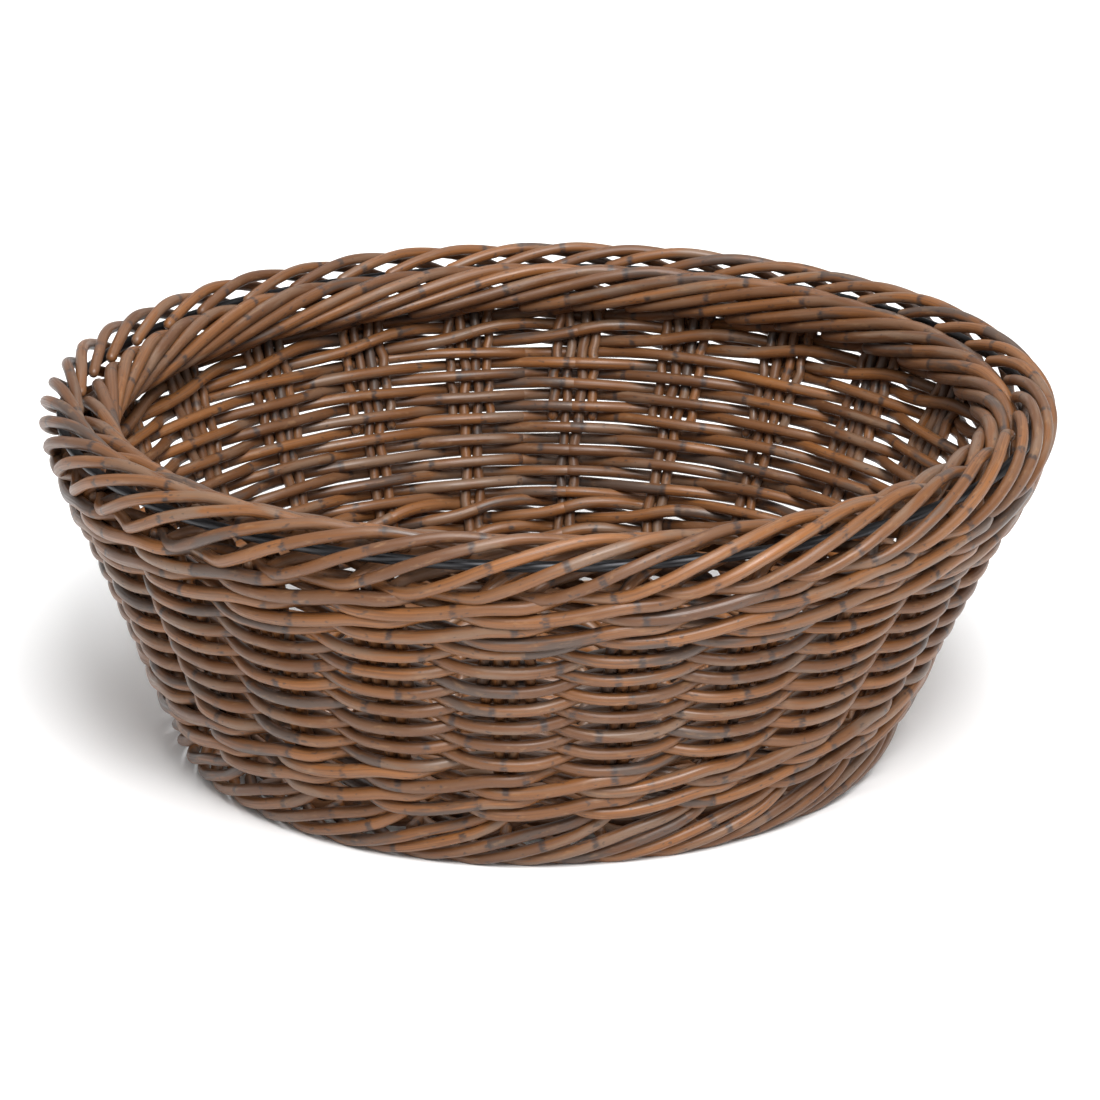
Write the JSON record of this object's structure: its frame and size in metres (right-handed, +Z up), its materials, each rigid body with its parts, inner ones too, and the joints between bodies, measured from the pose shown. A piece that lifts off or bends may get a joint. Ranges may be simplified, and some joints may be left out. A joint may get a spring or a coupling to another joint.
{
  "type": "bread basket",
  "caption": "Round hand-woven rattan bread basket with a flared wall, rolled rim over a steel hoop, wale bands, rolled foot and a woven stick base.",
  "frame": {"origin": "centre of the part's bounding box at the standing face under the rolled foot", "axes": "+Z up through the mouth, +X to the right and +Y away as seen from the front"},
  "size_m": [0.3994, 0.3994, 0.1495],
  "materials": {
    "rattan": "satin",
    "hoop_steel": "satin"
  },
  "bodies": {
    "root": {"stake_group_01": "rattan", "stake_group_02": "rattan", "stake_group_03": "rattan", "stake_group_04": "rattan", "stake_group_05": "rattan", "stake_group_06": "rattan", "stake_group_07": "rattan", "stake_group_08": "rattan", "stake_group_09": "rattan", "stake_group_10": "rattan", "stake_group_11": "rattan", "stake_group_12": "rattan", "stake_group_13": "rattan", "stake_group_14": "rattan", "stake_group_15": "rattan", "stake_group_16": "rattan", "stake_group_17": "rattan", "stake_group_18": "rattan", "stake_group_19": "rattan", "stake_group_20": "rattan", "stake_group_21": "rattan", "stake_group_22": "rattan", "stake_group_23": "rattan", "stake_group_24": "rattan", "weave_pair_01": "rattan", "weave_pair_02": "rattan", "weave_pair_03": "rattan", "weave_pair_04": "rattan", "weave_pair_05": "rattan", "weave_pair_06": "rattan", "weave_pair_07": "rattan", "top_wale": "rattan", "foot_wale": "rattan", "rim_roll_outer": "rattan", "rim_roll_inner": "rattan", "rim_hoop": "hoop_steel", "foot_roll": "rattan", "base_sticks_lower": "rattan", "base_sticks_upper": "rattan", "base_weave_lower": "rattan", "base_weave_upper": "rattan"}
  },
  "joints": []
}
